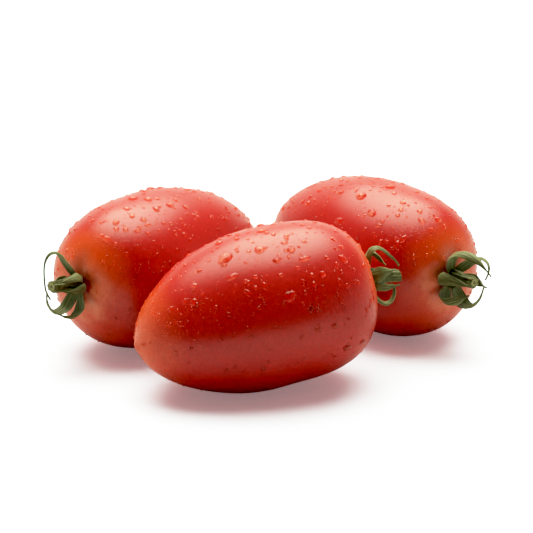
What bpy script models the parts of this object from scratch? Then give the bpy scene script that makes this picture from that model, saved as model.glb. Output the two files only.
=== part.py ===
"""Three long salad tomatoes lying together on a table, each with its stem stub and curled sepals.

Frame: +Z up, the table at Z = 0, the origin under the middle of the group, the front tomato towards -Y.
Each tomato is modelled along its own X axis, from the stem end (-X) to the blossom end (+X), and then
laid down and turned by an empty. Each calyx is modelled round the stem end, on an empty of its own.
All the sizes below are in millimetres and degrees.
"""

import math

import bmesh
import bpy
from mathutils import Euler, Matrix, Vector

MM = 0.001

# Fruit mesh: bands round each fruit, and rings from its stem end to its blossom end.
FRUIT_SEGMENTS = 32
FRUIT_RINGS = 20
OUTLINE_POINTS = 400  # points worked out along each half's side view, for the rings to be picked from
RING_CROWDING = 0.6  # 0 spaces the rings evenly, and 1 crowds them towards both ends

# The hollow that the stem sits in, and the small point that the flower left at the other end.
HOLLOW_DEPTH = 1.3
HOLLOW_RADIUS = 6.0
POINT_HEIGHT = 0.7
POINT_RADIUS = 2.0
BEND_LENGTH = 40.0  # a fruit's bend is its middle line's offset at this distance from the widest ring
SEAT_POWER = 10  # how sharply the middle line turns off to the stem's seat, near the stem end

# The block under the table that flattens the fruits where they rest.
CUTTER_SIDE = 400.0
CUTTER_DEPTH = 100.0

# Calyx: a green disc that carries the stem stub, with the sepals round its rim.
DISC_RADIUS = 2.7
STEM_GAP = 0.6  # between the stem's middle and the hollow's bottom, as a bowed stem dips at its edge
STEM_BEVEL_STEPS = 4
SEPAL_START = (3.35, 1.2)  # how far from the stem's middle line, and above the seat, a sepal begins
SEPAL_TAIL_WIDTH = 0.6
SEPAL_THICKNESS = 0.6
SEPAL_GUTTER = 0.3  # depth of a sepal's gutter, as a share of its half width
SEPAL_BASE = 0.16  # where on the width's half wave the sepal's base is, as a share of the half wave
SEPAL_SWELL = 1.2  # how much wider than its given width the wave is, before the taper thins it
SEPAL_STEPS = 14
SEPAL_STRIPS = 2

# Each tomato: its half lengths either side of the widest ring, how blunt each half is (2 is an ellipse
# and more is squarer), the bend of its middle line (up, aside), its lobes (count, depth, start), where
# its widest ring is, the way its blossom end points, the stem's seat (up, aside) and the stem's route
# (rise, bow towards the top). A sepal is (bearing, width, route). The bearing is its angle round the
# stem from the fruit's own up, and the route is a list of (reach from the stem, rise above the seat,
# drift aside).
TOMATOES = {
    "left": {
        "radius": 26.9,
        "stem_half": 38.2,
        "stem_bluntness": 2.63,
        "tip_half": 45.7,
        "tip_bluntness": 1.94,
        "bend": (1.1, -1.4),
        "lobes": (3, 0.25, 40.0),
        "centre": (-39.8, 11.5, 26.3),
        "turn": 49.7,
        "tip_rise": -1.5,
        "stem_seat": (1.0, 1.3),
        "stem": [(0, 0), (7, 1.0), (14, 2.2)],
        "sepals": [
            (12, 3.8, [(5.8, 3, 0), (9, 5.2, 0), (11.7, 7, 0), (13, 9.4, 0), (12.9, 11.6, 0.3),
                       (11.2, 13.3, 0.8), (8.2, 13.9, 1.6), (4.1, 13.6, 2.6), (0.5, 13, 3.3),
                       (-3, 11.3, 3.6)]),
            (75, 3, [(5.2, 2.6, 0), (5.4, 5.2, 0), (4.6, 8.2, 0), (3.9, 10.8, 0)]),
            (160, 4.6, [(6.4, 2.2, 0), (9.2, 3.8, 0), (10.2, 7.2, 0), (8.2, 10.6, 0), (5, 13.6, 0),
                        (1.6, 16, 0.6), (-1.8, 17.6, 1)]),
            (211, 4.2, [(5.8, 2.2, 0), (8.8, 4.4, 0), (10.1, 8.2, 0), (9.4, 11.8, 0), (7.5, 14.6, 0)]),
            (272, 3.2, [(5, 2.6, 0), (5.2, 5.2, 0), (4.2, 8, 0), (3.5, 10.6, 0)]),
            (324, 3.6, [(5, 3, 0), (5.3, 6, 0), (4.7, 9.6, 0), (4.7, 12.4, 0)]),
        ],
    },
    "front": {
        "radius": 27.2,
        "stem_half": 37.3,
        "stem_bluntness": 2.91,
        "tip_half": 45.5,
        "tip_bluntness": 1.85,
        "bend": (-0.5, 1.0),
        "lobes": (3, 0.25, 10.0),
        "centre": (-1.2, -36.2, 26.9),
        "turn": 198.5,
        "tip_rise": -9.0,
        "stem_seat": (2.0, 0.0),
        "stem": [(0, 0), (6, -0.8), (12.4, -2.2)],
        "sepals": [
            (8, 4, [(7.4, 1.4, 0), (10.3, 3, 0), (10.6, 5.3, 0), (8.8, 7.6, 0), (5.9, 9.8, 0),
                    (3.4, 11.6, 0), (1.5, 12.4, 0)]),
            (66, 4.6, [(5.6, 2.4, 0), (7, 4.6, 0), (6.2, 7.4, 0), (5.2, 9.4, 0)]),
            (118, 4.2, [(5.4, 2, 0), (6.6, 4.4, 0), (6.6, 7.2, 0), (6.6, 10, 0)]),
            (186, 4.2, [(6.8, 2.2, 0), (10.2, 4.2, 0), (11.8, 6.6, 0), (11, 8.8, 0), (8.4, 10, 0),
                        (5.8, 9.9, 0), (4.6, 9.2, 0)]),
            (252, 3.6, [(6.4, 2.4, 0), (8.4, 5.2, 0), (7.2, 8.6, 0), (5.4, 10.4, 0)]),
            (312, 4.2, [(6.4, 2.2, 0), (8.7, 4.2, 0), (8.5, 6.3, 0), (6.6, 7.4, 0), (4.6, 8, 0),
                        (2.9, 8.6, 0)]),
        ],
    },
    "right": {
        "radius": 26.7,
        "stem_half": 37.8,
        "stem_bluntness": 2.74,
        "tip_half": 48.2,
        "tip_bluntness": 1.87,
        "bend": (0.3, 0.4),
        "lobes": (3, 0.25, 70.0),
        "centre": (39.4, 26.0, 26.1),
        "turn": 131.2,
        "tip_rise": 0.9,
        "stem_seat": (0.9, 0.3),
        "stem": [(0, 0), (6, 0.8), (12.2, 1.4)],
        "sepals": [
            (18, 4.8, [(7, 2, 0), (10.8, 4.8, 0), (13, 8.8, 0), (13.2, 13, 0), (11.8, 16.8, 0),
                       (9.4, 19.8, 0), (7, 22, 0)]),
            (72, 4, [(6.8, 1.4, 0), (8.2, 3.2, 0), (7.4, 6.2, 0), (5.8, 9.4, 0), (4.7, 12.4, 0),
                     (4.2, 14.6, 0)]),
            (140, 5.6, [(6, 1.2, 0), (8.4, 2.8, 0), (8.8, 5.6, 0), (7, 8.4, 0), (4.8, 10.4, 0),
                        (3.6, 12, 0)]),
            (200, 4.4, [(6.8, 1.4, 0), (9.8, 3, 0), (10.7, 5.8, 0), (8.6, 9.4, 0), (5.4, 12.6, 0),
                        (2, 15, 0), (-1.4, 17, 0)]),
            (262, 4, [(6, 2.6, 0), (7.6, 5.4, 0), (6.4, 9, 0), (4.4, 11.6, 0), (3.6, 14.6, 0)]),
            (324, 4.2, [(6, 3.2, 0), (8.9, 5.8, 0), (10.2, 9.2, 0), (9.2, 12.8, 0), (6.6, 14.8, 0),
                        (3.4, 15.2, 0)]),
        ],
    },
}

# A stem stub's radius along its length: the disc, the neck and the swollen joint where it was picked.
STEM_RADII = [
    (0.0, 1.4),
    (0.05, 2.4),
    (0.1, DISC_RADIUS),
    (0.2, 2.0),
    (0.4, 1.75),
    (0.65, 1.8),
    (0.84, 2.2),
    (0.94, 2.2),
    (1.0, 1.9),
]

SKIN_RED = (0.62, 0.02, 0.01, 1.0)
SEPAL_GREEN = (0.11, 0.16, 0.045, 1.0)
STEM_GREEN = (0.10, 0.14, 0.04, 1.0)


def clear_scene():
    """An empty file to build in."""
    for obj in list(bpy.data.objects):
        bpy.data.objects.remove(obj)


def material(name, colour, roughness):
    """A plain colour, with no metal in it."""
    made = bpy.data.materials.new(name)
    made.use_nodes = True
    shader = made.node_tree.nodes["Principled BSDF"]
    shader.inputs["Base Color"].default_value = colour
    shader.inputs["Roughness"].default_value = roughness
    shader.inputs["Metallic"].default_value = 0.0
    made.diffuse_color = colour
    return made


def collection(name):
    """A collection of its own in the scene."""
    made = bpy.data.collections.new(name)
    bpy.context.scene.collection.children.link(made)
    return made


def empty(name, group, parent, location, rotation):
    """A frame that pieces hang from. Its location is in millimetres, in its parent's frame."""
    made = bpy.data.objects.new(name, None)
    group.objects.link(made)
    made.parent = parent
    made.location = Vector(location) * MM
    made.rotation_euler = rotation
    return made


def between(table, at):
    """The value at `at` of a table of (place, value), straight between its rows."""
    for (a, low), (b, high) in zip(table, table[1:]):
        if at <= b:
            return low + (high - low) * (at - a) / (b - a)
    return table[-1][1]


def smooth_route(points, steps):
    """A Catmull-Rom curve through the points, as steps + 1 places spread evenly over its spans."""
    first = points[0] * 2 - points[1]
    last = points[-1] * 2 - points[-2]
    guide = [first, *points, last]
    spans = len(points) - 1
    route = []
    for step in range(steps + 1):
        along = step / steps * spans
        span = min(int(along), spans - 1)
        t = along - span
        a, b, c, d = guide[span : span + 4]
        square = (2 * a - 5 * b + 4 * c - d) * t**2
        cube = (3 * b - a - 3 * c + d) * t**3
        route.append(0.5 * (2 * b + (c - a) * t + square + cube))
    return route


# --- the fruit ---


def half_outline(half, radius, bluntness, count):
    """Points (distance from the widest ring, radius) of one half, from its end to the widest ring."""
    power = 2 / bluntness
    angles = [math.pi / 2 * i / count for i in range(count + 1)]
    return [(half * math.cos(a) ** power, radius * math.sin(a) ** power) for a in angles]


def outline(tomato):
    """The side of the fruit as (place along its axis, radius), from its stem end to its blossom end."""
    radius = tomato["radius"]
    stem_side = half_outline(tomato["stem_half"], radius, tomato["stem_bluntness"], OUTLINE_POINTS)
    tip_side = half_outline(tomato["tip_half"], radius, tomato["tip_bluntness"], OUTLINE_POINTS)
    return [(-x, r) for x, r in stem_side] + [(x, r) for x, r in reversed(tip_side[:-1])]


def ring_places(points, count):
    """count + 1 of the outline's points, a little closer together towards both ends."""
    lengths = [0.0]
    for a, b in zip(points, points[1:]):
        lengths.append(lengths[-1] + math.dist(a, b))
    along = list(zip(lengths, range(len(points))))
    places = []
    for i in range(count + 1):
        even = i / count
        crowded = (1 - math.cos(math.pi * even)) / 2
        share = even + RING_CROWDING * (crowded - even)
        places.append(points[round(between(along, lengths[-1] * share))])
    return places


def middle_line(tomato, x):
    """How far the fruit's middle line is off its axis, as (aside, up), at the place x."""
    share = (x / BEND_LENGTH) ** 2
    up, aside = (bend * share for bend in tomato["bend"])
    if x < 0:
        turned_off = (x / tomato["stem_half"]) ** SEAT_POWER
        up += tomato["stem_seat"][0] * turned_off
        aside += tomato["stem_seat"][1] * turned_off
    return aside, up


def fruit_point(tomato, ring, around):
    """A point of the fruit's skin, on the ring (place, radius), at an angle from the fruit's own up."""
    x, radius = ring
    count, depth, start = tomato["lobes"]
    lobed = radius + depth * radius / tomato["radius"] * math.cos(count * around + math.radians(start))
    aside, up = middle_line(tomato, x)
    if x < 0:
        x += HOLLOW_DEPTH * math.exp(-((radius / HOLLOW_RADIUS) ** 2))
    else:
        x += POINT_HEIGHT * math.exp(-((radius / POINT_RADIUS) ** 2))
    return Vector((x, aside + lobed * math.sin(around), up + lobed * math.cos(around))) * MM


def fruit_mesh(name, tomato):
    """A sphere whose rings are moved onto the fruit's outline. Its pole is the stem end, at -X."""
    rings = ring_places(outline(tomato), FRUIT_RINGS)
    body = bmesh.new()
    bmesh.ops.create_uvsphere(body, u_segments=FRUIT_SEGMENTS, v_segments=FRUIT_RINGS, radius=1.0)
    for vertex in body.verts:
        ring = round(math.acos(max(-1.0, min(1.0, vertex.co.z))) / math.pi * FRUIT_RINGS)
        around = math.atan2(vertex.co.y, vertex.co.x)
        vertex.co = fruit_point(tomato, rings[ring], around)
    mesh = bpy.data.meshes.new(name)
    body.to_mesh(mesh)
    body.free()
    mesh.shade_smooth()
    return mesh


def rest_cutter(group):
    """A block under the table, which flattens each fruit where its own weight presses it."""
    bpy.ops.mesh.primitive_cube_add(size=1.0, location=(0, 0, -CUTTER_DEPTH / 2 * MM))
    block = bpy.context.object
    block.name = "table_cutter"
    block.scale = (CUTTER_SIDE * MM, CUTTER_SIDE * MM, CUTTER_DEPTH * MM)
    block.hide_render = True
    block.display_type = "WIRE"
    for holder in list(block.users_collection):
        holder.objects.unlink(block)
    group.objects.link(block)
    return block


def make_fruit(name, tomato, frame, group, cutter, skin):
    """The whole fruit as one body, flattened a little where it rests on the table."""
    fruit = bpy.data.objects.new(f"{name}_tomato", fruit_mesh(f"{name}_tomato", tomato))
    group.objects.link(fruit)
    fruit.parent = frame
    fruit.data.materials.append(skin)
    flat = fruit.modifiers.new("rest_flat", "BOOLEAN")
    flat.operation = "DIFFERENCE"
    flat.object = cutter
    flat.solver = "EXACT"
    return fruit


# --- the calyx ---


def calyx_frame(name, tomato, frame, group):
    """An empty at the bottom of the stem's hollow: +Z out of the fruit, +X at the fruit's own up."""
    x = -tomato["stem_half"]
    aside, up = middle_line(tomato, x)
    turned = Matrix(((0, 0, -1), (0, 1, 0), (1, 0, 0))).to_euler()
    return empty(f"{name}_calyx", group, frame, (x + HOLLOW_DEPTH - STEM_GAP, aside, up), turned)


def make_stem(name, tomato, frame, group, finish):
    """A filled curve whose radius swells at the disc and at the joint."""
    length = tomato["stem"][-1][0]
    line = bpy.data.curves.new(f"{name}_stem", "CURVE")
    line.dimensions = "3D"
    line.bevel_depth = MM
    line.bevel_resolution = STEM_BEVEL_STEPS
    line.use_fill_caps = True
    spline = line.splines.new("POLY")
    spline.points.add(len(STEM_RADII) - 1)
    for point, (share, radius) in zip(spline.points, STEM_RADII):
        rise = share * length
        bow = between(tomato["stem"], rise)
        point.co = (bow * MM, 0.0, rise * MM, 1.0)
        point.radius = radius
    stem = bpy.data.objects.new(f"{name}_stem", line)
    group.objects.link(stem)
    stem.parent = frame
    line.materials.append(finish)
    return stem


def sepal_width(width, along):
    """The width at a share of the length: narrow at the disc, widest after a third, and a thin tail."""
    wave = math.sin(math.pi * (SEPAL_BASE + (1 - SEPAL_BASE) * along))
    taper = math.sqrt(1 - along)
    return max(SEPAL_TAIL_WIDTH, width * SEPAL_SWELL * wave * taper)


def sepal_mesh(name, bearing, width, route):
    """A flat grid laid along the route, with a gutter down its middle."""
    out = Vector((math.cos(math.radians(bearing)), math.sin(math.radians(bearing)), 0))
    aside = Vector((-out.y, out.x, 0))
    up = Vector((0, 0, 1))
    places = [(*SEPAL_START, 0), *route]
    guide = [out * reach + up * rise + aside * drift for reach, rise, drift in places]
    line = smooth_route(guide, SEPAL_STEPS)
    blade = bmesh.new()
    bmesh.ops.create_grid(blade, x_segments=SEPAL_STEPS, y_segments=SEPAL_STRIPS, size=1.0)
    for vertex in blade.verts:
        step = round((vertex.co.x + 1) / 2 * SEPAL_STEPS)
        across = vertex.co.y
        forward = (line[min(step + 1, SEPAL_STEPS)] - line[max(step - 1, 0)]).normalized()
        side = (aside - forward * aside.dot(forward)).normalized()
        face = forward.cross(side)
        half = sepal_width(width, step / SEPAL_STEPS) / 2
        gutter = SEPAL_GUTTER * half * across**2
        vertex.co = (line[step] + side * across * half + face * gutter) * MM
    mesh = bpy.data.meshes.new(name)
    blade.to_mesh(mesh)
    blade.free()
    mesh.shade_smooth()
    return mesh


def make_sepal(name, bearing, width, route, frame, group, finish):
    """One sepal: its flat grid, thickened evenly to both sides."""
    sepal = bpy.data.objects.new(name, sepal_mesh(name, bearing, width, route))
    group.objects.link(sepal)
    sepal.parent = frame
    sepal.data.materials.append(finish)
    wall = sepal.modifiers.new("thickness", "SOLIDIFY")
    wall.thickness = SEPAL_THICKNESS * MM
    wall.offset = 0.0
    return sepal


def make_tomato(name, tomato, group, cutter, finishes):
    """One fruit with its stem and its sepals, all hung from an empty at the fruit's middle."""
    turned = Euler((0, -math.radians(tomato["tip_rise"]), math.radians(tomato["turn"])))
    frame = empty(f"{name}_place", group, None, tomato["centre"], turned)
    make_fruit(name, tomato, frame, group, cutter, finishes["skin"])
    calyx = calyx_frame(name, tomato, frame, group)
    make_stem(name, tomato, calyx, group, finishes["stem"])
    for number, (bearing, width, route) in enumerate(tomato["sepals"], 1):
        make_sepal(f"{name}_sepal_{number}", bearing, width, route, calyx, group, finishes["sepal"])


def main():
    clear_scene()
    group = collection("long_salad_tomatoes")
    cutters = collection("cutters")
    cutter = rest_cutter(cutters)
    finishes = {
        "skin": material("tomato_skin", SKIN_RED, 0.22),
        "sepal": material("sepal_green", SEPAL_GREEN, 0.7),
        "stem": material("stem_green", STEM_GREEN, 0.65),
    }
    for name, tomato in TOMATOES.items():
        make_tomato(name, tomato, group, cutter, finishes)


main()
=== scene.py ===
# %% [markdown]
# # Long salad tomatoes, wet from the tap
#
# Three long tomatoes lie together on a white table. Each has a stem stub, a ring of curled green sepals,
# and drops of water on its skin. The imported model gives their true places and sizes. This lesson dresses
# it: fine skins, leafy sepals, a ridged stem, and water that bends the light.

import math

import bpy
import numpy as np
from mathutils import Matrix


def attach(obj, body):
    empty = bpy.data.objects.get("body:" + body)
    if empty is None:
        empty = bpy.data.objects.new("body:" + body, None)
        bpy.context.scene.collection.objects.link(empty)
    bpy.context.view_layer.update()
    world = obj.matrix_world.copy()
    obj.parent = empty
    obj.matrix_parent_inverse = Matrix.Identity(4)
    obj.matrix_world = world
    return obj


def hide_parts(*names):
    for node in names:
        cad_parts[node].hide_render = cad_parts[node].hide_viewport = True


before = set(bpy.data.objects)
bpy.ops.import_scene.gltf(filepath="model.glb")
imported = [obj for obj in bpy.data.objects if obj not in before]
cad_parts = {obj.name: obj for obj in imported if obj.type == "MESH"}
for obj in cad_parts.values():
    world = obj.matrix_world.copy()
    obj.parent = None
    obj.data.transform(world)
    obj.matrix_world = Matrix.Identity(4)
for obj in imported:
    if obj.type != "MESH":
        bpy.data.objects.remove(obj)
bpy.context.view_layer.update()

MM = 0.001  # every length below is in millimetres, and a mesh is in metres
print("nodes in the packed model:", len(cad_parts))

# %% [markdown]
# ## Two tools for making meshes
#
# Fruit, stems, sepals and drops are all closed skins that a ring of points sweeps out. Modelling them by
# pushing vertices about is slow and hard to repeat. Instead a formula gives every point at once, as a
# numpy array, and one tool joins neighbouring rings with four-sided faces and closes each end with a fan.


# %% A closed skin from rings of points
def ring_faces(rows, columns):
    """Faces for rows of points with one more point before them and one after: bands, and a fan at each end.

    Point k of row j has the number 1 + j * columns + k. The last point of a row joins up with its first.
    """
    here = np.arange(columns)
    following = (here + 1) % columns
    starts = 1 + columns * np.arange(rows - 1)[:, None]
    bands = np.stack([starts + here, starts + following,
                      starts + columns + following, starts + columns + here], -1)
    first_fan = np.stack([np.zeros_like(here), 1 + following, 1 + here], -1)
    last_row = 1 + columns * (rows - 1)
    last_fan = np.stack([np.full_like(here, 1 + rows * columns), last_row + here, last_row + following], -1)
    return bands.reshape(-1, 4), np.vstack([first_fan, last_fan])


def signed_volume(points, triangles):
    """A sixth of the sum of a . (b x c) over the triangles. It is positive when the faces point outwards."""
    a, b, c = points[triangles[:, 0]], points[triangles[:, 1]], points[triangles[:, 2]]
    return float(np.einsum("ij,ij->i", a, np.cross(b, c)).sum() / 6)


def closed_skins(name, shapes, rows, columns):
    """One object from many closed skins of the same make.

    shapes has the size (how many, 2 + rows * columns, 3). Each skin is its first point, its rows, and its
    last point.
    """
    count, size = shapes.shape[:2]
    quads, triangles = ring_faces(rows, columns)
    one = shapes[0]
    halves = np.vstack([quads[:, [0, 1, 2]], quads[:, [0, 2, 3]], triangles])
    if signed_volume(one - one.mean(0), halves) < 0:
        quads, triangles = quads[:, ::-1], triangles[:, ::-1]
    shift = (np.arange(count) * size)[:, None, None]
    faces = (quads + shift).reshape(-1, 4).tolist() + (triangles + shift).reshape(-1, 3).tolist()
    mesh = bpy.data.meshes.new(name)
    mesh.from_pydata((shapes.reshape(-1, 3) * MM).tolist(), [], faces)
    mesh.shade_smooth()
    piece = bpy.data.objects.new(name, mesh)
    bpy.context.scene.collection.objects.link(piece)
    return piece


def paint(piece, name, values):
    """Keeps one number per point on the mesh, for a material to read by this name."""
    layer = piece.data.attributes.new(name, "FLOAT", "POINT")
    layer.data.foreach_set("value", np.asarray(values, dtype=np.float32).ravel())


print("mesh tools ready: a band of 8 has", len(ring_faces(2, 8)[0]), "quads and",
      len(ring_faces(2, 8)[1]), "end faces")

# %% [markdown]
# ## The three fruits, in numbers
#
# A long tomato is nearly round across and egg-shaped along. Its stem end is blunt and its blossom end is
# slimmer. Two half ovals say that well: each has its own length and its own bluntness, where 2 is an
# ellipse and more is squarer. Each fruit also bends a little, has three faint lobes, and lies its own
# way. A sculpted mesh could do the same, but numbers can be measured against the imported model.

# %% Sizes, places and turns of the fruits
# lobe_start, turn and tip_rise are in degrees. bend and seat are (up, aside), and the stem sits at the seat.
fruits = {
    "left": dict(radius=26.9, stem_half=38.2, stem_blunt=2.63, tip_half=45.7, tip_blunt=1.94,
                 bend=(1.1, -1.4), seat=(1.0, 1.3), lobe_start=40, centre=(-39.8, 11.5, 26.3),
                 turn=49.7, tip_rise=-1.5),
    "front": dict(radius=27.2, stem_half=37.3, stem_blunt=2.91, tip_half=45.5, tip_blunt=1.85,
                  bend=(-0.5, 1.0), seat=(2.0, 0.0), lobe_start=10, centre=(-1.2, -36.2, 26.9),
                  turn=198.5, tip_rise=-9.0),
    "right": dict(radius=26.7, stem_half=37.8, stem_blunt=2.74, tip_half=48.2, tip_blunt=1.87,
                  bend=(0.3, 0.4), seat=(0.9, 0.3), lobe_start=70, centre=(39.4, 26.0, 26.1),
                  turn=131.2, tip_rise=0.9),
}
hollow_depth, hollow_radius = 1.3, 6.0  # the hollow that the stem sits in
rim_height, rim_radius, rim_spread = 0.3, 8.0, 4.0  # five soft bumps round the hollow
point_height, point_radius = 0.7, 2.0  # the small point that the flower left
lobe_height, wave_height = 0.25, 0.1  # three lobes round the fruit, and slow waves all over it
bend_length = 40.0  # the bend is the middle line's offset this far from the widest ring
outline_steps = 1500  # points on each half of a fruit's side view


def outline(fruit):
    """Adds the fruit's side view as a table: distance along the skin, place on the axis, and radius.

    On each half, place = half * cos(t)^(2/blunt) and radius = widest * sin(t)^(2/blunt). The angle t goes
    from 0 to 90 degrees.
    """
    t = np.linspace(0, math.pi / 2, outline_steps)
    stem_power, tip_power = 2 / fruit["stem_blunt"], 2 / fruit["tip_blunt"]
    place = np.r_[-fruit["stem_half"] * np.cos(t) ** stem_power,
                  (fruit["tip_half"] * np.cos(t) ** tip_power)[-2::-1]]
    radius = fruit["radius"] * np.r_[np.sin(t) ** stem_power, (np.sin(t) ** tip_power)[-2::-1]]
    fruit["skin"] = np.r_[0, np.cumsum(np.hypot(np.diff(place), np.diff(radius)))]
    fruit["place"], fruit["reach"] = place, radius


for name, fruit in fruits.items():
    outline(fruit)
    length, over = fruit["stem_half"] + fruit["tip_half"], fruit["skin"][-1]
    print(f"{name}: {length:.1f} mm long, {over:.1f} mm over the skin")


# %% Points on a fruit's skin
def axes_of(fruit):
    """The fruit's own directions in the world: along to the blossom end, aside, and up."""
    turn, rise = math.radians(fruit["turn"]), math.radians(fruit["tip_rise"])
    along = np.array([math.cos(rise) * math.cos(turn), math.cos(rise) * math.sin(turn), math.sin(rise)])
    aside = np.array([-math.sin(turn), math.cos(turn), 0.0])
    return along, aside, np.cross(along, aside)


def middle_line(fruit, place):
    """The bend grows with the square of the place, and turns off to the seat close to the stem end."""
    share = (place / bend_length) ** 2
    turned_off = np.where(place < 0, (place / fruit["stem_half"]) ** 10, 0)
    up = fruit["bend"][0] * share + fruit["seat"][0] * turned_off
    aside = fruit["bend"][1] * share + fruit["seat"][1] * turned_off
    return aside, up


def skin_point(fruit, travelled, around):
    """The skin at a distance travelled from the stem end, and at an angle round from the fruit's own up.

    The point is the middle line plus the radius turned round by the angle. A wave with three crests makes
    the lobes, and slow sine waves keep the skin from being a perfect lathe shape. What would go below the
    table is pressed flat.
    """
    place = np.interp(travelled, fruit["skin"], fruit["place"])
    radius = np.interp(travelled, fruit["skin"], fruit["reach"])
    share = radius / fruit["radius"]
    lobes = lobe_height * share * np.cos(3 * around + math.radians(fruit["lobe_start"]))
    waves = wave_height * share * (np.sin(place / 7.0 + 2 * around) + np.sin(place / 4.3 - 3 * around + 1.0))
    aside, up = middle_line(fruit, place)
    dip = hollow_depth * np.exp(-((radius / hollow_radius) ** 2))
    rim = rim_height * np.exp(-(((radius - rim_radius) / rim_spread) ** 2)) * np.cos(5 * around + 0.6)
    tip = point_height * np.exp(-((radius / point_radius) ** 2))
    place = place + np.where(place < 0, dip + rim, tip)
    swell = radius + lobes + waves
    along_way, aside_way, up_way = axes_of(fruit)
    point = (np.array(fruit["centre"]) + place[..., None] * along_way
             + (aside + swell * np.sin(around))[..., None] * aside_way
             + (up + swell * np.cos(around))[..., None] * up_way)
    point[..., 2] = np.maximum(point[..., 2], 0.0)
    return point


def skin_normal(fruit, travelled, around):
    """The outward direction: the cross product of two short steps over the skin."""
    step = 0.05
    travelled = np.clip(travelled, 2 * step, fruit["skin"][-1] - 2 * step)
    forward = skin_point(fruit, travelled + step, around) - skin_point(fruit, travelled - step, around)
    tilt = step / 20  # radians, a step of about the same size where the fruit is widest
    sideways = skin_point(fruit, travelled, around + tilt) - skin_point(fruit, travelled, around - tilt)
    normal = np.cross(forward, sideways)
    outward = skin_point(fruit, travelled, around) - np.array(fruit["centre"])
    flip = np.sign(np.einsum("...i,...i->...", normal, outward))
    return normal * flip[..., None] / np.linalg.norm(normal, axis=-1, keepdims=True)


top_point = skin_point(fruits["front"], np.array([60.0]), np.array([0.0]))
print("front fruit, 60 mm over its top from the stem:", top_point.round(1))

# %% [markdown]
# ## The skins
#
# Each skin is one closed mesh. Its rings are a little closer together near the two ends, where the shape
# turns fastest. The mesh also keeps two numbers for each point: how far it is from the stem over the
# skin, and how near it is to either end. The colour has to follow them, because a tomato ripens last
# round its stem.

# %% Make the three skins
rings, bands = 200, 240
crowding = 0.6  # 0 spaces the rings evenly, and 1 crowds them at the ends as a cosine does
even = np.arange(1, rings + 1) / (rings + 1)
crowded = even + crowding * ((1 - np.cos(math.pi * even)) / 2 - even)
round_angles = np.linspace(0, 2 * math.pi, bands, endpoint=False)

skins = {}
for name, fruit in fruits.items():
    travelled = crowded * fruit["skin"][-1]
    grid = skin_point(fruit, travelled[:, None] + 0 * round_angles, 0 * travelled[:, None] + round_angles)
    ends = skin_point(fruit, np.array([0.0, fruit["skin"][-1]]), np.array([0.0, 0.0]))
    shape = np.vstack([ends[:1], grid.reshape(-1, 3), ends[1:]])
    skin = closed_skins(f"{name}_skin", shape[None], rings, bands)
    distance = np.r_[0.0, np.repeat(travelled, bands), fruit["skin"][-1]]
    paint(skin, "from_stem", distance)
    paint(skin, "to_end", np.abs(2 * distance / fruit["skin"][-1] - 1))
    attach(skin, "root")
    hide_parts(f"{name}_tomato")
    skins[name] = skin
    size = shape.max(0) - shape.min(0)
    print(f"{name} skin: {len(skin.data.polygons)} faces, {size[0]:.1f} x {size[1]:.1f} x {size[2]:.1f} mm")

# %% [markdown]
# ## Tools for materials
#
# A material is a small graph of nodes. Placing them by hand is slow to repeat, and a long list of node
# calls is hard to read. Each helper below adds one kind of node and joins it up, so that a finish reads
# as a list of what it is made of.

# %% Nodes in one line
def finish_graph(name):
    """A new material, as a pair: the material and its shader."""
    made = bpy.data.materials.new(name)
    made.use_nodes = True
    return made, made.node_tree.nodes["Principled BSDF"]


def tune(node, **values):
    """Sets values on a node's sockets by name, with _ for a space."""
    for socket, value in values.items():
        node.inputs[socket.replace("_", " ")].default_value = value


def add(material, kind, settings=None, **values):
    """Adds a node. settings are its own options, and values go to its sockets by name."""
    made = material.node_tree.nodes.new(kind)
    for option, value in (settings or {}).items():
        setattr(made, option, value)
    tune(made, **values)
    return made


def join(material, source, target):
    """Links an output socket to an input socket."""
    material.node_tree.links.new(source, target)


def feed(material, value, target):
    """Gives an input either a link, when the value is a socket, or the plain value."""
    if isinstance(value, bpy.types.NodeSocket):
        join(material, value, target)
    else:
        target.default_value = value


def kept_number(material, name):
    """The number that the mesh keeps for each point under this name."""
    return add(material, "ShaderNodeAttribute", {"attribute_name": name}).outputs["Fac"]


def noise(material, place, scale, detail):
    """A random pattern over a place. It stays near 0.5, mostly between 0.3 and 0.7."""
    made = add(material, "ShaderNodeTexNoise", Scale=scale, Detail=detail)
    join(material, place, made.inputs["Vector"])
    return made.outputs["Fac"]


def calculate(material, operation, *values):
    """One sum on sockets or numbers."""
    made = add(material, "ShaderNodeMath", {"operation": operation})
    for value, target in zip(values, made.inputs):
        feed(material, value, target)
    return made.outputs[0]


def fade(material, source, start, end, low=0.0, high=1.0, kind="SMOOTHSTEP"):
    """A step: low where the source is at start or beyond it, high where it is at end or beyond it."""
    made = add(material, "ShaderNodeMapRange", {"interpolation_type": kind},
               From_Min=start, From_Max=end, To_Min=low, To_Max=high)
    join(material, source, made.inputs["Value"])
    return made.outputs["Result"]


def ramp(material, source, stops):
    """A colour ramp on a number. stops is a list of (place, colour)."""
    made = add(material, "ShaderNodeValToRGB")
    points = made.color_ramp.elements
    while len(points) < len(stops):
        points.new(0.5)
    for point, (place, colour) in zip(points, stops):
        point.position = place
        point.color = (*colour, 1.0)
    join(material, source, made.inputs["Fac"])
    return made.outputs["Color"]


def mixed(material, share, first, second, blend="MIX"):
    """Two colours mixed by a share. Each is a socket or a plain colour, and so is the share."""
    made = add(material, "ShaderNodeMix", {"data_type": "RGBA", "blend_type": blend})
    feed(material, share, made.inputs[0])
    for value, target in ((first, made.inputs[6]), (second, made.inputs[7])):
        feed(material, (*value, 1.0) if isinstance(value, tuple) else value, target)
    return made.outputs[2]


def switch(material, share, first, second):
    """The material shows the first shader, or the second one where the share is 1."""
    made = add(material, "ShaderNodeMixShader")
    for source, target in zip((share, first.outputs[0], second.outputs[0]), made.inputs):
        join(material, source, target)
    join(material, made.outputs[0], material.node_tree.nodes["Material Output"].inputs["Surface"])


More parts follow.
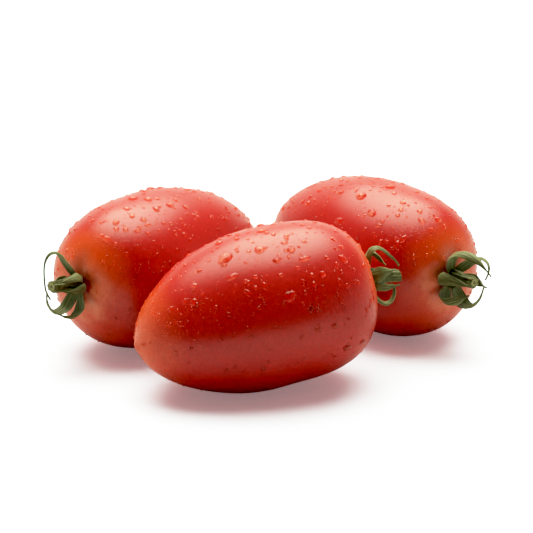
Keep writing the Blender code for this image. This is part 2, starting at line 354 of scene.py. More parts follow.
def roughen(material, shader, height, strength, depth):
    """Bumps in the shading, where height is 1 on the tops and depth is how high they stand in metres."""
    bump = add(material, "ShaderNodeBump", Strength=strength, Distance=depth)
    join(material, height, bump.inputs["Height"])
    join(material, bump.outputs["Normal"], shader.inputs["Normal"])


print("material tools ready")

# %% [markdown]
# ## Ripe skin
#
# Ripe skin is a thin clear layer over red flesh. Light goes a few millimetres into the flesh and comes
# back redder. A single red would look like plastic, so the colour is laid on in steps. The red drifts in
# broad clouds and is mottled finely. It is warmer at both ends. Over the top of the stem end, where the
# fruit ripens last, it is orange, and the orange is kept to the upper side: that part is painted light, for
# the strong light that falls on the top. Low down near the stem it is tan. In the hollow under the sepals
# the skin is painted a darker crimson as shade, where the sepals' shadow falls.

# %% The skin material
ripe, shader = finish_graph("ripe tomato skin")
where = add(ripe, "ShaderNodeTexCoord").outputs["Object"]
from_stem = kept_number(ripe, "from_stem")  # millimetres over the skin
to_end = kept_number(ripe, "to_end")  # 0 half way along and 1 at either end
split = add(ripe, "ShaderNodeSeparateXYZ")
join(ripe, where, split.inputs[0])
height = split.outputs["Z"]  # metres over the table

clouds = noise(ripe, where, 38.0, 2.0)
crimson = ramp(ripe, clouds, [(0.3, (0.49, 0.016, 0.013)), (0.7, (0.55, 0.026, 0.018))])
warm_red = (0.74, 0.1, 0.026)
warmth = fade(ripe, calculate(ripe, "MULTIPLY_ADD", clouds, 0.5, to_end), 0.78, 1.2)
body = mixed(ripe, warmth, crimson, warm_red)

fine = noise(ripe, where, 900.0, 3.0)
mottled = ramp(ripe, fine, [(0.3, (0.84, 0.72, 0.72)), (0.7, (1.0, 1.0, 1.0))])
body = mixed(ripe, 1.0, body, mottled, "MULTIPLY")

# painted light, partly real: the stem end's shoulder ripens last and is orange, but the orange is kept to
# the top by height over the table, where the strong light falls
ripe_and_lit_orange = (0.78, 0.098, 0.018)
lit_top = fade(ripe, height, 0.026, 0.040)
shoulder = fade(ripe, from_stem, 24.5, 10.0)
body = mixed(ripe, calculate(ripe, "MULTIPLY", lit_top, shoulder), body, ripe_and_lit_orange)

tan = (0.74, 0.21, 0.11)
patches = noise(ripe, where, 160.0, 4.0)
ragged = calculate(ripe, "MULTIPLY_ADD", patches, -16.0, from_stem)  # so that the edge is not a clean ring
near_stem = fade(ripe, ragged, 7.5, -3.0)
low_down = fade(ripe, height, 0.040, 0.024, low=0.3)
body = mixed(ripe, calculate(ripe, "MULTIPLY", near_stem, low_down), body, tan)

# painted shade: the skin in the stem's hollow is darker crimson where the sepals shade it
hollow_shade_crimson = (0.34, 0.008, 0.012)
colour = mixed(ripe, fade(ripe, ragged, -1.0, -5.5), body, hollow_shade_crimson)

tune(shader, IOR=1.46, Subsurface_Weight=0.2, Subsurface_Radius=(1.0, 0.25, 0.08), Subsurface_Scale=0.003)
for skin in skins.values():
    skin.data.materials.append(ripe)
print("skin nodes so far:", len(ripe.node_tree.nodes))

# %% [markdown]
# ## Mist on the skin
#
# Between the drops the skin carries mist: thousands of droplets too small to model one by one. A Voronoi
# pattern gives each droplet a cell. The droplet is a bump in the shading and a little shinier than the
# bare skin. Under it the colour is a lighter orange: a painted glint, for the light that the droplet
# gathers. A clump pattern leaves patches dry, and most of the mist gathers towards the two ends.

# %% Mist as a bump
mist_scale = 1150.0  # cells to the metre
cells = add(ripe, "ShaderNodeTexVoronoi", Scale=mist_scale)
join(ripe, where, cells.inputs["Vector"])
dome = fade(ripe, cells.outputs["Distance"], 0.34, 0.0)
clumps = noise(ripe, where, 95.0, 3.0)
damp = calculate(ripe, "MULTIPLY_ADD", to_end, 0.45, clumps)
wet = fade(ripe, damp, 0.56, 0.92, kind="LINEAR")
mist = calculate(ripe, "MULTIPLY", dome, wet)
roughen(ripe, shader, mist, 0.6, 0.00013)

# painted glint: under each droplet the colour is a lighter orange, for the light the droplet gathers and
# throws back
mist_glint_colour = (0.78, 0.15, 0.07)
join(ripe, mixed(ripe, mist, colour, mist_glint_colour), shader.inputs["Base Color"])
dry_rough, wet_rough = 0.28, 0.2
gloss = fade(ripe, mist, 0.0, 1.0, low=dry_rough, high=wet_rough, kind="LINEAR")
join(ripe, gloss, shader.inputs["Roughness"])
print("mist cells are", round(1000 / mist_scale, 2), "mm apart, and the skin has",
      len(ripe.node_tree.nodes), "nodes")

# %% [markdown]
# ## Water drops
#
# Water beads on the waxy skin. A small bead is round, a big one runs and sags into a tear or a bean. Each
# drop is a closed dome that sits in the skin. Its outline is a circle with three slow waves in it, and
# its height falls off from the middle, slowly at first and steeply at the edge. Bumps alone would not
# bend the light. The big ones are listed one by one, the small ones are scattered.

# %% The shape of a drop
dome_power = 0.7  # how the height falls off: 1 is a parabola, and less is fuller
sunk_edge, sunk_middle = -0.2, -0.35  # how deep the underside sits, as a share of the height


def drop_shapes(fruit, along, around, width, length, turn, waves, height, rows, columns):
    """Closed domes on the skin, one for each entry of the lists.

    A point at share p of the way out, and at angle a, lies p * (width cos a, length sin a) * outline(a) / 2
    from the middle, with outline(a) = 1 + sum of waves. It stands height * (1 - p^2)^dome_power off the
    skin. One more ring and a last point are sunk into the skin, so that the drop is closed.
    """
    along, around = np.asarray(along, float), np.radians(np.asarray(around, float))
    out = np.r_[np.sin(np.linspace(0, math.pi / 2, rows)[1:]), 1.0]
    angle = np.linspace(0, 2 * math.pi, columns, endpoint=False)
    edge = 1 + sum(size[:, None] * np.cos(order * angle + start[:, None]) for order, size, start in waves)
    across = np.asarray(width)[:, None] / 2 * edge * np.cos(angle)
    down = np.asarray(length)[:, None] / 2 * edge * np.sin(angle)
    cos_turn, sin_turn = np.cos(np.radians(turn))[:, None], np.sin(np.radians(turn))[:, None]
    flat = np.stack([across * cos_turn - down * sin_turn, across * sin_turn + down * cos_turn], -1)
    flat = flat[:, None] * out[None, :, None, None]
    middle = np.zeros((len(along), 1, 2))
    flat = np.concatenate([middle, flat.reshape(len(along), -1, 2), middle], 1)
    lift = np.maximum(1 - out**2, 0) ** dome_power
    lift = np.r_[1.0, np.repeat(lift, columns), sunk_middle]
    lift[-1 - columns:-1] = sunk_edge
    lift = lift[None, :] * np.asarray(height)[:, None]
    start = np.interp(along, fruit["place"], fruit["skin"])
    radius = np.interp(start, fruit["skin"], fruit["reach"])
    travelled = start[:, None] + flat[..., 0]
    angles = around[:, None] + flat[..., 1] / radius[:, None]
    surface = skin_point(fruit, travelled, angles)
    return surface + skin_normal(fruit, travelled, angles) * lift[..., None]


print("half way out a drop keeps", round(0.75**dome_power, 2), "of its height")

# %% [markdown]
# The big drops are listed for each fruit as (place along the fruit, angle round it, width, length, turn).
# The place is measured from the widest ring, and is negative towards the stem. The water spreads a
# little, so every width and length grows by the same share when the drop is made.

# %% The big drops, listed one by one
big_drops = {
    "front": [
        (12.5, 19, 4.6, 3.4, 20), (1, 24, 2.6, 2.8, 0), (-8, 22, 2.0, 1.4, 0), (-10, 15, 1.8, 1.2, 10),
        (-9, 30, 2.4, 2.2, 30), (-12, 40, 3.4, 1.9, 5), (-3, 36, 2.0, 1.7, 40), (13, 38, 3.6, 1.8, 10),
        (22, 18, 1.8, 1.2, 0), (25, 30, 1.6, 2.2, 20), (6, 44, 1.7, 1.2, 0), (4, 52, 1.3, 2.4, 0),
        (-3, 64, 3.6, 3.0, 0), (-9, 58, 1.1, 3.2, 15), (-25, 44, 2.0, 3.2, 30), (-16, 54, 1.8, 1.9, 0),
        (-12, 60, 1.2, 1.6, 0), (-21, 62, 1.4, 1.9, 0), (-20, 76, 1.3, 2.6, 15), (-11, 74, 1.4, 3.0, -10),
        (10, 54, 1.4, 2.6, 20), (-10, 92, 2.0, 1.4, 0), (-20, 116, 2.6, 1.7, -20), (-26, 120, 2.2, 1.5, -30),
        (27, 44, 2.0, 2.4, -30), (34, 38, 1.5, 2.4, -20), (11, -4, 2.4, 1.8, 0), (-4, 2, 2.6, 2.0, 0),
        (-6, -18, 2.2, 2.6, 0), (-29, 92, 1.2, 2.4, 20), (-2, 48, 1.6, 1.1, 0), (33, 58, 1.6, 1.8, 0),
    ],
    "left": [
        (-26, -14, 2.2, 1.8, 0), (-10, 2, 2.6, 2.8, 0), (-7, -8, 2.0, 2.6, 10), (-3, -22, 2.4, 2.2, 0),
        (-10, -22, 1.9, 1.8, 0), (-18, -8, 1.5, 2.0, 0), (-20, -18, 1.8, 1.5, 0), (-18, -26, 1.7, 1.9, 20),
        (-18, -32, 2.0, 1.5, 0), (-23, -32, 2.2, 1.6, 0), (-26, -26, 1.5, 1.8, 0), (-28, -20, 1.7, 1.4, 0),
        (-32, -20, 1.9, 2.6, 0), (-12, -36, 1.6, 1.3, 0), (5, 14, 2.2, 2.2, 0), (2, -28, 1.4, 2.2, 0),
        (-7, -50, 1.6, 1.4, 0),
    ],
    "right": [
        (-2, 24, 3.2, 3.0, 30), (-12, 34, 3.2, 2.3, -10), (-6, 0, 2.6, 3.0, 0), (8, 26, 2.4, 1.7, 30),
        (-1, 50, 2.6, 2.2, 50), (-18, 12, 1.9, 1.6, 0), (-14, 50, 1.2, 1.7, 0), (-27, 50, 1.5, 2.6, 0),
        (-28, 42, 1.6, 2.8, 0), (-25, 10, 1.9, 1.5, 0), (-28, 16, 2.6, 1.6, 10), (-30, 0, 2.6, 1.9, 0),
        (-18, 42, 2.2, 1.3, 40), (-32, 14, 1.8, 1.6, 0), (20, 42, 1.8, 1.9, 0), (18, 38, 1.4, 1.2, 0),
        (20, 26, 1.5, 1.6, 0), (36, 50, 1.3, 1.8, 0), (-22, 54, 1.6, 1.6, 0), (-21, 26, 1.5, 1.3, 0),
    ],
}
print("big drops listed:", {name: len(rows) for name, rows in big_drops.items()})

# %% Scatter the small drops and join each fruit's water
rows_big, columns_big = 9, 28
rows_small, columns_small = 4, 10
spread = 1.3  # how much wider and longer the listed drops are made
small_count = 800  # for each fruit
bare_stem, bare_tip = 7, 3  # millimetres of skin without small drops at the two ends
tries = 6  # random places tried for each one that is wanted
big_height, small_height = 0.34, 0.28  # of a drop 1 mm wide
big_waves, small_waves = 0.24, 0.2  # how strong the waves in the outline can be


def random_waves(dice, count, strength):
    """One, two and three bulges of random size and place for each drop's outline."""
    return [(order, strength / order * dice.random(count), dice.random(count) * 2 * math.pi)
            for order in (1, 2, 3)]


def scatter(dice, fruit, count):
    """Places spread over the skin's area. Fewer stay on the underside, where water runs off.

    A place is kept with a chance of 0.12 below, which grows to 1 over the top 130 degrees or so.
    """
    travelled = dice.random(count * tries) * fruit["skin"][-1]
    around = dice.uniform(-180, 180, count * tries)
    area = np.interp(travelled, fruit["skin"], fruit["reach"]) / fruit["radius"]
    top = 0.12 + 0.88 * np.clip(0.6 + np.cos(np.radians(around)), 0, 1)
    kept = dice.random(count * tries) < area * top
    kept = kept & (travelled > bare_stem) & (travelled < fruit["skin"][-1] - bare_tip)
    place = np.interp(travelled[kept], fruit["skin"], fruit["place"])
    return place[:count], around[kept][:count]


waters = []
for number, (name, fruit) in enumerate(fruits.items()):
    dice = np.random.default_rng(11 + number)
    place, around, width, length, turn = np.array(big_drops[name], dtype=float).T
    waves = random_waves(dice, len(place), big_waves)
    width, length = spread * width, spread * length
    tall = big_height * np.minimum(width, length) ** 0.8  # a bigger drop is flatter for its size
    big = drop_shapes(fruit, place, around, width, length, turn, waves, tall, rows_big, columns_big)
    big_piece = closed_skins(f"{name}_big_drops", big, rows_big, columns_big)
    place, around = scatter(dice, fruit, small_count)
    width = 0.5 + 1.4 * dice.random(len(place)) ** 2.7  # half are under 0.72 mm and a few reach 1.9 mm
    length = width * dice.uniform(0.9, 1.4, len(place))
    turn = dice.uniform(-40, 40, len(place))
    waves = random_waves(dice, len(place), small_waves)
    tall = small_height * width
    small = drop_shapes(fruit, place, around, width, length, turn, waves, tall, rows_small, columns_small)
    small = small[small[..., 2].min(axis=1) > 0.05]  # none is squeezed between the fruit and the table
    small_piece = closed_skins(f"{name}_small_drops", small, rows_small, columns_small)
    waters += [big_piece, small_piece]
    print(f"{name}: {len(big)} big drops, {len(small)} small ones, the widest {width.max():.2f} mm")

# %% [markdown]
# ## Water
#
# Water is clear, perfectly smooth and bends light by its own amount, an index of 1.33. Most of what a
# drop shows is the skin under it and the light above it, upside down. A slight red tint deepens that. A
# true drop also gathers light onto the skin below it. Path tracing finds that light only by luck, and a
# drop without it looks black inside. So light on its straight way to the skin passes through the water
# here, dimmed and reddened.

# %% The water material
water, shader = finish_graph("clean water")
tune(shader, Base_Color=(1.0, 0.74, 0.56, 1.0), Roughness=0.0, IOR=1.33, Transmission_Weight=1.0)
open_way = add(water, "ShaderNodeBsdfTransparent", Color=(0.5, 0.4, 0.3, 1.0))
to_light = add(water, "ShaderNodeLightPath").outputs["Is Shadow Ray"]
switch(water, to_light, shader, open_way)
for piece in waters:
    piece.data.materials.append(water)
    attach(piece, "root")
print("pieces of water:", len(waters))

# %% [markdown]
# ## The calyx: a stem stub and curled sepals
#
# Each stem was picked with a short stub. It is thick at its foot, where the sepals grow out, and thinner
# at the joint where it broke off. The sepals leave the foot outwards, then curl back towards the stub and
# thin out to a hair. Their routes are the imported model's: reach from the stem, rise off the seat, drift
# aside. Their widths are up to 1.8 mm more, because real sepals press together where they start.

# %% Sizes and routes of the stems and sepals
stem_gap = 0.6  # the stem's foot stands this far off the bottom of the hollow
sepal_start = (3.35, 1.2, 0.0)
sepal_thickness = 0.6
hair_width = 0.56  # the tips stay this wide
stems = {
    "left": [(0, 0), (7, 1.0), (14, 2.2)],
    "front": [(0, 0), (6, -0.8), (12.4, -2.2)],
    "right": [(0, 0), (6, 0.8), (12.2, 1.4)],
}
stem_radii = [(0.0, 1.4), (0.05, 2.8), (0.1, 3.3), (0.25, 3.1), (0.45, 2.5), (0.65, 2.05), (0.84, 2.1),
              (0.94, 2.1), (1.0, 1.8)]  # at shares of its length
end_size = {"left": 0.95, "front": 1.0, "right": 0.95}  # how much of that the cut end keeps
sepals = {  # each is its bearing round the stem, its width, how fast it thins, and its route
    "left": [
        (12, 4.8, 1.8, [(5.8, 3, 0), (9, 5.2, 0), (11.7, 7, 0), (13, 9.4, 0), (12.9, 11.6, 0.3),
                        (11.2, 13.3, 0.8), (8.2, 13.9, 1.6), (4.1, 13.6, 2.6), (0.5, 13, 3.3),
                        (-3, 11.3, 3.6)]),
        (75, 3.4, 0.6, [(5.2, 2.6, 0), (5.4, 5.2, 0), (4.6, 8.2, 0), (3.9, 10.8, 0)]),
        (160, 6, 0.9, [(6.4, 2.2, 0), (9.2, 3.8, 0), (10.2, 7.2, 0), (8.2, 10.6, 0), (5, 13.6, 0),
                       (1.6, 16, 0.6), (-1.8, 17.6, 1)]),
        (211, 5.8, 0.6, [(5.8, 2.2, 0), (8.8, 4.4, 0), (10.1, 8.2, 0), (9.4, 11.8, 0), (7.5, 14.6, 0)]),
        (272, 3.8, 0.7, [(5, 2.6, 0), (5.2, 5.2, 0), (4.2, 8, 0), (3.5, 10.6, 0)]),
        (324, 4.4, 0.5, [(5, 3, 0), (5.3, 6, 0), (4.7, 9.6, 0), (4.7, 12.4, 0)]),
    ],
    "front": [
        (8, 4.8, 0.9, [(7.4, 1.4, 0), (10.3, 3, 0), (10.6, 5.3, 0), (8.8, 7.6, 0), (5.9, 9.8, 0),
                       (3.4, 11.6, 0), (1.5, 12.4, 0)]),
        (66, 5, 0.5, [(5.6, 2.4, 0), (7, 4.6, 0), (6.2, 7.4, 0), (5.2, 9.4, 0)]),
        (118, 4.6, 0.5, [(5.4, 2, 0), (6.6, 4.4, 0), (6.6, 7.2, 0), (6.6, 10, 0)]),
        (186, 5, 0.6, [(6.8, 2.2, 0), (10.2, 4.2, 0), (11.8, 6.6, 0), (11, 8.8, 0), (8.4, 10, 0),
                       (5.8, 9.9, 0), (4.6, 9.2, 0)]),
        (252, 4, 0.7, [(6.4, 2.4, 0), (8.4, 5.2, 0), (7.2, 8.6, 0), (5.4, 10.4, 0)]),
        (312, 4.8, 0.5, [(6.4, 2.2, 0), (8.7, 4.2, 0), (8.5, 6.3, 0), (6.6, 7.4, 0), (4.6, 8, 0),
                         (2.9, 8.6, 0)]),
    ],
    "right": [
        (18, 6.6, 0.7, [(7, 2, 0), (10.8, 4.8, 0), (13, 8.8, 0), (13.2, 13, 0), (11.8, 16.8, 0),
                        (9.4, 19.8, 0), (7, 22, 0)]),
        (72, 4.8, 0.5, [(6.8, 1.4, 0), (8.2, 3.2, 0), (7.4, 6.2, 0), (5.8, 9.4, 0), (4.7, 12.4, 0),
                        (4.2, 14.6, 0)]),
        (140, 7.4, 0.6, [(6, 1.2, 0), (8.4, 2.8, 0), (8.8, 5.6, 0), (7, 8.4, 0), (4.8, 10.4, 0),
                         (3.6, 12, 0)]),
        (200, 6.2, 0.8, [(6.8, 1.4, 0), (9.8, 3, 0), (10.7, 5.8, 0), (8.6, 9.4, 0), (5.4, 12.6, 0),
                         (2, 15, 0), (-1.4, 17, 0)]),
        (262, 4.4, 0.6, [(6, 2.6, 0), (7.6, 5.4, 0), (6.4, 9, 0), (4.4, 11.6, 0), (3.6, 14.6, 0)]),
        (324, 5.4, 0.9, [(6, 3.2, 0), (8.9, 5.8, 0), (10.2, 9.2, 0), (9.2, 12.8, 0), (6.6, 14.8, 0),
                         (3.4, 15.2, 0)]),
    ],
}
print("sepals:", {name: len(rows) for name, rows in sepals.items()})


# %% Where a calyx sits, and a smooth way through points
def calyx_frame(fruit):
    """The seat in the hollow, and three directions: the fruit's up, its aside, and out along the stem."""
    along, aside_way, up_way = axes_of(fruit)
    place = np.array(-fruit["stem_half"])
    aside, up = middle_line(fruit, place)
    foot = place + hollow_depth - stem_gap
    seat = np.array(fruit["centre"]) + foot * along + aside * aside_way + up * up_way
    return seat, up_way, aside_way, -along


def smooth_route(points, steps):
    """A Catmull-Rom curve: each span is a cubic, and at a point it runs along its neighbours' line."""
    points = np.asarray(points, float)
    guide = np.vstack([2 * points[0] - points[1], points, 2 * points[-1] - points[-2]])
    spans = len(points) - 1
    way = np.linspace(0, spans, steps)
    span = np.minimum(way.astype(int), spans - 1)
    t = (way - span)[:, None]
    a, b, c, d = (guide[span + i] for i in range(4))
    return 0.5 * (2 * b + (c - a) * t + (2 * a - 5 * b + 4 * c - d) * t**2
                  + (3 * b - a - 3 * c + d) * t**3)


def unit(vectors):
    """The same directions, each one long."""
    return vectors / np.linalg.norm(vectors, axis=-1, keepdims=True)


for name, fruit in fruits.items():
    print(f"{name} calyx seat:", calyx_frame(fruit)[0].round(1))

# %% [markdown]
# ## Stem stubs
#
# A stem is a round profile carried along its bowed middle line. Seven ridges run along it, with finer
# ones between, and twist slowly. The cut end dips in the middle, where the pith has dried.

# %% Make the stems
stem_rows, stem_columns = 64, 84
cut_rows = 7  # rings over the cut end
smoothing = 7  # neighbouring radii are averaged over this many rings
pith_depth, pith_width = 0.5, 0.12  # the second is the last ring's share of the cut end
stubs = []
for name, fruit in fruits.items():
    seat, up_way, aside_way, out_way = calyx_frame(fruit)
    length = stems[name][-1][0]
    share = np.linspace(0, 1, stem_rows) ** 0.9
    bow = smooth_route([(rise, lean, 0) for rise, lean in stems[name]], 200)
    lean = np.interp(share * length, bow[:, 0], bow[:, 1])
    radius = np.interp(share, *np.array(stem_radii).T)
    radius = np.convolve(np.pad(radius, smoothing // 2, "edge"), np.ones(smoothing) / smoothing, "valid")
    radius = radius * (1 + (end_size[name] - 1) * share**2)
    angle = np.linspace(0, 2 * math.pi, stem_columns, endpoint=False)
    ridges = 0.1 * np.cos(7 * angle + 2.2 * share[:, None]) + 0.04 * np.cos(13 * angle - 5 * share[:, None])
    ring = radius[:, None] * (1 + ridges)
    rise = (share * length)[:, None] + 0 * angle
    inward = np.linspace(1, pith_width, cut_rows + 1)[1:, None]
    rise = np.vstack([rise, length - pith_depth * (1 - inward) + 0 * angle])
    lean = np.r_[lean, np.full(cut_rows, lean[-1])]
    ring = np.vstack([ring, ring[-1] * inward])
    grid = (seat + rise[..., None] * out_way + (lean[:, None] + ring * np.cos(angle))[..., None] * up_way
            + (ring * np.sin(angle))[..., None] * aside_way)
    first, last = grid[0].mean(0), grid[-1].mean(0)
    shape = np.vstack([first[None], grid.reshape(-1, 3), last[None]])
    stem = closed_skins(f"{name}_stem_stub", shape[None], stem_rows + cut_rows, stem_columns)
    cut = np.r_[np.zeros(stem_rows - 1), np.linspace(0.3, 1, cut_rows + 1)]
    paint(stem, "cut_end", np.r_[0.0, np.repeat(cut, stem_columns), 1.0])
    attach(stem, "root")
    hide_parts(f"{name}_stem")
    stubs.append(stem)
    print(f"{name} stem: {length} mm long, {2 * radius[-1]:.1f} mm across its cut end")

# %% [markdown]
# ## Sepals
#
# A sepal is a narrow leaf: a thin lens across, with a midrib and two fainter veins on its back, edges
# that turn up into a gutter, and a tip like a hair. Carrying that closed profile along the route gives a
# true thin solid with soft edges, which a flat strip with a thickness added would not.


# %% The surface of one sepal
gutter, rippling = 0.3, 0.12  # shares of the half width
twisting = 0.35  # radians


def sepal_width(width, thinning, along):
    """The width along the leaf: narrow at its foot, widest within its first third, and a hair at the tip.

    It is 1.2 * width * sin(180 degrees * (0.16 + 0.84 * along)) * (1 - along)^thinning, and never less than
    a hair.
    """
    swell = np.sin(math.pi * (0.16 + 0.84 * along))
    return np.maximum(hair_width, width * 1.2 * swell * (1 - along) ** thinning)


def sepal_shape(fruit, bearing, width, thinning, route, start, rows, columns):
    """Rings of a lens on the route: x = half width * cos a, y = half thickness * sin a, bent into a gutter.

    The gutter lifts a point by gutter * half width * cos(a)^2. The midrib and veins are narrow waves on the
    back. The edges ripple by slow sine waves, and start says where those begin.
    """
    seat, up_way, aside_way, out_way = calyx_frame(fruit)
    away = math.cos(math.radians(bearing)) * up_way + math.sin(math.radians(bearing)) * aside_way
    side = -math.sin(math.radians(bearing)) * up_way + math.cos(math.radians(bearing)) * aside_way
    reach, rise, drift = np.array([sepal_start, *route], dtype=float).T[..., None]
    line = smooth_route(seat + reach * away + rise * out_way + drift * side, rows)
    along = np.linspace(0, 1, rows)
    forward = unit(np.gradient(line, axis=0))
    sideways = unit(side - forward * (forward @ side)[:, None])
    twist = twisting * np.sin(2.5 * math.pi * along + start) * along
    face = np.cross(forward, sideways)
    turned = np.cos(twist)[:, None] * sideways + np.sin(twist)[:, None] * face
    face = np.cross(forward, turned)
    angle = np.linspace(0, 2 * math.pi, columns, endpoint=False)
    half = sepal_width(width, thinning, along)[:, None] / 2
    thin = sepal_thickness / 2 * np.minimum(1, half / 0.6 + 0.3)
    across = np.cos(angle)
    ripple = rippling * half * np.sin(9 * along + start)[:, None] * across**3
    back = np.where(np.sin(angle) < 0, 1.0, -0.4)
    midrib = 0.7 * np.exp(-((across / 0.16) ** 2))
    side_veins = 0.35 * np.exp(-(((np.abs(across) - 0.52) / 0.12) ** 2))
    veins = thin * (midrib + side_veins)
    lift = thin * np.sin(angle) + gutter * half * across**2 - back * veins + ripple
    grid = line[:, None] + (half * across)[..., None] * turned[:, None] + lift[..., None] * face[:, None]
    return np.vstack([grid[0].mean(0)[None], grid.reshape(-1, 3), grid[-1].mean(0)[None]])


print("a 5 mm sepal half way along:", sepal_width(5.0, 0.6, np.array([0.5])).round(1)[0], "mm wide")


# %% Make the sepals
sepal_rows, sepal_columns = 72, 32
wave_step = 1.7  # radians that the ripples of one sepal start after those of the last
leaves = []
for name, fruit in fruits.items():
    for number, (bearing, width, thinning, route) in enumerate(sepals[name], 1):
        start = wave_step * number
        shape = sepal_shape(fruit, bearing, width, thinning, route, start, sepal_rows, sepal_columns)
        sepal = closed_skins(f"{name}_leaf_{number}", shape[None], sepal_rows, sepal_columns)
        across = np.tile(np.cos(np.linspace(0, 2 * math.pi, sepal_columns, endpoint=False)), sepal_rows)
        paint(sepal, "across", np.r_[0.0, across, 0.0])
        paint(sepal, "along", np.r_[0.0, np.repeat(np.linspace(0, 1, sepal_rows), sepal_columns), 1.0])
        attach(sepal, "root")
        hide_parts(f"{name}_sepal_{number}")
        leaves.append(sepal)
    print(f"{name}: {number} sepals")

# %% [markdown]
# ## Leaf green
#
# Sepals and stem are the same living green, dull and covered with a fine down that catches the light at
# the edges. Stripes from dark to pale run along the leaf, fibres mottle the stem, and its cut end is
# straw. One flat green would hide the ribs, so the pattern also drives a fine bump.

# %% The green materials
downy = dict(Sheen_Weight=0.35, Sheen_Roughness=0.4, Sheen_Tint=(0.8, 0.9, 0.6, 1.0))

leaf, shader = finish_graph("sepal leaf")
strand = add(leaf, "ShaderNodeCombineXYZ")
join(leaf, kept_number(leaf, "across"), strand.inputs["X"])
join(leaf, kept_number(leaf, "along"), strand.inputs["Y"])
stretch = add(leaf, "ShaderNodeMapping", Scale=(7.0, 2.5, 1.0))
join(leaf, strand.outputs[0], stretch.inputs["Vector"])
stripes = noise(leaf, stretch.outputs[0], 1.0, 4.0)
leaf_greens = [(0.3, (0.035, 0.052, 0.010)), (0.5, (0.105, 0.135, 0.036)), (0.7, (0.26, 0.30, 0.13))]
join(leaf, ramp(leaf, stripes, leaf_greens), shader.inputs["Base Color"])
tune(shader, Roughness=0.62, Subsurface_Weight=0.1, Subsurface_Radius=(0.4, 0.6, 0.2),
     Subsurface_Scale=0.0006, **downy)
down = noise(leaf, add(leaf, "ShaderNodeTexCoord").outputs["Object"], 2600.0, 3.0)
roughen(leaf, shader, calculate(leaf, "MULTIPLY_ADD", stripes, 1.6, down), 0.6, 0.0002)

stalk, shader = finish_graph("stem stalk")
fibres = noise(stalk, add(stalk, "ShaderNodeTexCoord").outputs["Object"], 700.0, 4.0)
stalk_greens = [(0.3, (0.035, 0.05, 0.010)), (0.55, (0.10, 0.13, 0.034)), (0.75, (0.24, 0.27, 0.11))]
cut_colours = [(0.0, (0.1, 0.13, 0.04)), (0.35, (0.20, 0.22, 0.08)), (0.7, (0.36, 0.37, 0.17)),
               (1.0, (0.10, 0.10, 0.04))]
cut = kept_number(stalk, "cut_end")
is_cut = fade(stalk, cut, 0.2, 0.35, kind="LINEAR")
green, straw = ramp(stalk, fibres, stalk_greens), ramp(stalk, cut, cut_colours)
join(stalk, mixed(stalk, is_cut, green, straw), shader.inputs["Base Color"])
tune(shader, Roughness=0.6, **downy)
roughen(stalk, shader, fibres, 0.5, 0.0002)

for pieces, material in ((leaves, leaf), (stubs, stalk)):
    for piece in pieces:
        piece.data.materials.append(material)
print("green pieces:", len(leaves), "sepals and", len(stubs), "stems")

# %% [markdown]
# ## Table, light and camera
#
# Food is shot on a white sweep under one big soft lamp. Here the light is painted in the sky, which gives it
# soft edges and no lamp to hide from the camera. A bright patch hangs above and a little behind, so that its
# reflection lies along the top of each fruit. Weaker light comes from low behind and from both sides. The
# front of the sky is dark, which leaves the deep red band across the middle. The table ends a little way in
# front of the fruits, so that the band reaches low.
#
# The table is brighter to the camera than to the fruits, so that it comes out nearly white and still does
# not flood them. The camera also sees a faint pink glow on it, which is painted light: it lifts and tints
# the cast shadows, for light bounced off the red fruit. The camera stands low, with a long lens, and a tone
# curve holds back the brightest light.

# %% The table
mesh = bpy.data.meshes.new("table")
side, front_edge, drop = 4.0, -0.24, -0.0002
corners = [(-side, front_edge), (side, front_edge), (side, side), (-side, side)]
mesh.from_pydata([(x, y, drop) for x, y in corners], [], [(0, 1, 2, 3)])
table = bpy.data.objects.new("table", mesh)
bpy.context.scene.collection.objects.link(table)
white, shader = finish_graph("white sweep")
bounce = add(white, "ShaderNodeBsdfDiffuse", Color=(0.6, 0.6, 0.6, 1.0))
bright = add(white, "ShaderNodeBsdfDiffuse", Color=(1.0, 1.24, 1.46, 1.0))
# painted light: the camera sees a faint pink glow on the table, which lifts and tints the cast shadows, for
# light bounced off the red fruit
painted_bounce_glow = add(white, "ShaderNodeEmission", Color=(0.3, 0.19, 0.195, 1.0))
bright_plus_bounce_glow = add(white, "ShaderNodeAddShader")
join(white, bright.outputs[0], bright_plus_bounce_glow.inputs[0])
join(white, painted_bounce_glow.outputs[0], bright_plus_bounce_glow.inputs[1])
switch(white, add(white, "ShaderNodeLightPath").outputs["Is Camera Ray"], bounce, bright_plus_bounce_glow)
mesh.materials.append(white)
print("the table ends", -front_edge, "m in front of the middle")

# %% The light in the sky
room = bpy.data.worlds.new("studio")
room.use_nodes = True
bpy.context.scene.world = room
way = add(room, "ShaderNodeTexCoord").outputs["Generated"]
split = add(room, "ShaderNodeSeparateXYZ")
join(room, way, split.inputs[0])
x_way, y_way, z_way = split.outputs["X"], split.outputs["Y"], split.outputs["Z"]

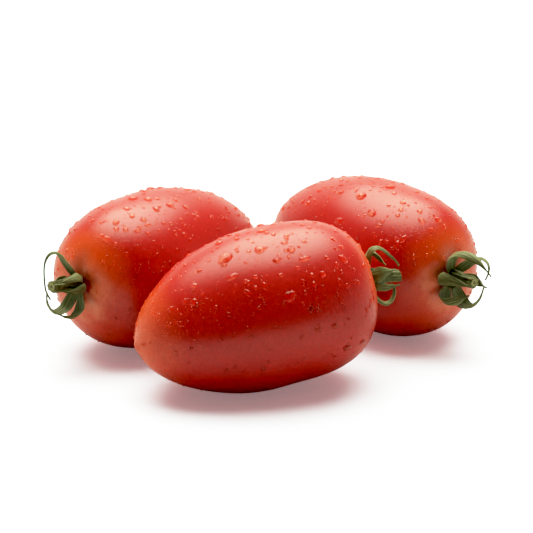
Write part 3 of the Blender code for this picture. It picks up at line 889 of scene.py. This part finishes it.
lamp_turn, lamp_rise = math.radians(-3), math.radians(68)  # from straight behind, and up from the table
facing = add(room, "ShaderNodeVectorMath", {"operation": "DOT_PRODUCT"})
join(room, way, facing.inputs[0])
facing.inputs[1].default_value = (math.sin(lamp_turn) * math.cos(lamp_rise),
                                  math.cos(lamp_turn) * math.cos(lamp_rise), math.sin(lamp_rise))
edge, core = math.radians(42), math.radians(8)  # the patch is full within the core and fades to its edge
softbox = fade(room, facing.outputs["Value"], math.cos(edge), math.cos(core), high=9.7)
behind = calculate(room, "ADD", fade(room, y_way, -0.5, 0.1, low=0.02, high=0.35),
                   fade(room, y_way, 0.6, 0.97, high=1.2))
beside = calculate(room, "MULTIPLY", fade(room, calculate(room, "ABSOLUTE", x_way), 0.7, 0.95, high=0.95),
                   fade(room, z_way, 0.4, 0.1))
light = calculate(room, "ADD", softbox, calculate(room, "ADD", behind, beside))
light = calculate(room, "MULTIPLY", light, fade(room, z_way, -0.02, 0.0))
warm_light = mixed(room, 1.0, light, (1.0, 0.92, 0.76), "MULTIPLY")
seen = add(room, "ShaderNodeLightPath").outputs["Is Camera Ray"]
backdrop = (3.0, 3.0, 3.0)  # what the camera sees past the table
join(room, mixed(room, seen, warm_light, backdrop), room.node_tree.nodes["Background"].inputs["Color"])
print("the bright patch is", round(math.degrees(lamp_rise)), "degrees up")

# %% The camera
camera = bpy.data.cameras.new("camera")
camera.sensor_width = 36.0
camera.lens = 196.3
camera.clip_end = 20.0
camera_object = bpy.data.objects.new("camera", camera)
down_angle, away = math.radians(18), 1.019
aim = (-0.0002, 0.0095, 0.027)
camera_object.location = (aim[0], aim[1] - away * math.cos(down_angle), aim[2] + away * math.sin(down_angle))
camera_object.rotation_euler = (math.pi / 2 - down_angle, 0, 0)
bpy.context.scene.collection.objects.link(camera_object)
bpy.context.scene.camera = camera_object
print("camera:", [round(c, 3) for c in camera_object.location])

# %% The tone curve
picture = bpy.context.scene.view_settings
picture.view_transform = "Standard"
picture.use_curve_mapping = True
deepest, brightest = 0.013, 2.6  # the light that comes out black, and the light that comes out white
picture.curve_mapping.black_level = (deepest, deepest, deepest)
picture.curve_mapping.white_level = (brightest, brightest, brightest)
picture.curve_mapping.extend = "HORIZONTAL"
tones = ((0.12, 0.095), (0.35, 0.32), (0.65, 0.60), (1.0, 0.81), (1.5, 0.94))  # the light, and what is shown
for amount, shown in tones:
    picture.curve_mapping.curves[3].points.new((amount - deepest) / (brightest - deepest), shown)
picture.curve_mapping.update()
print("tones set:", len(tones))
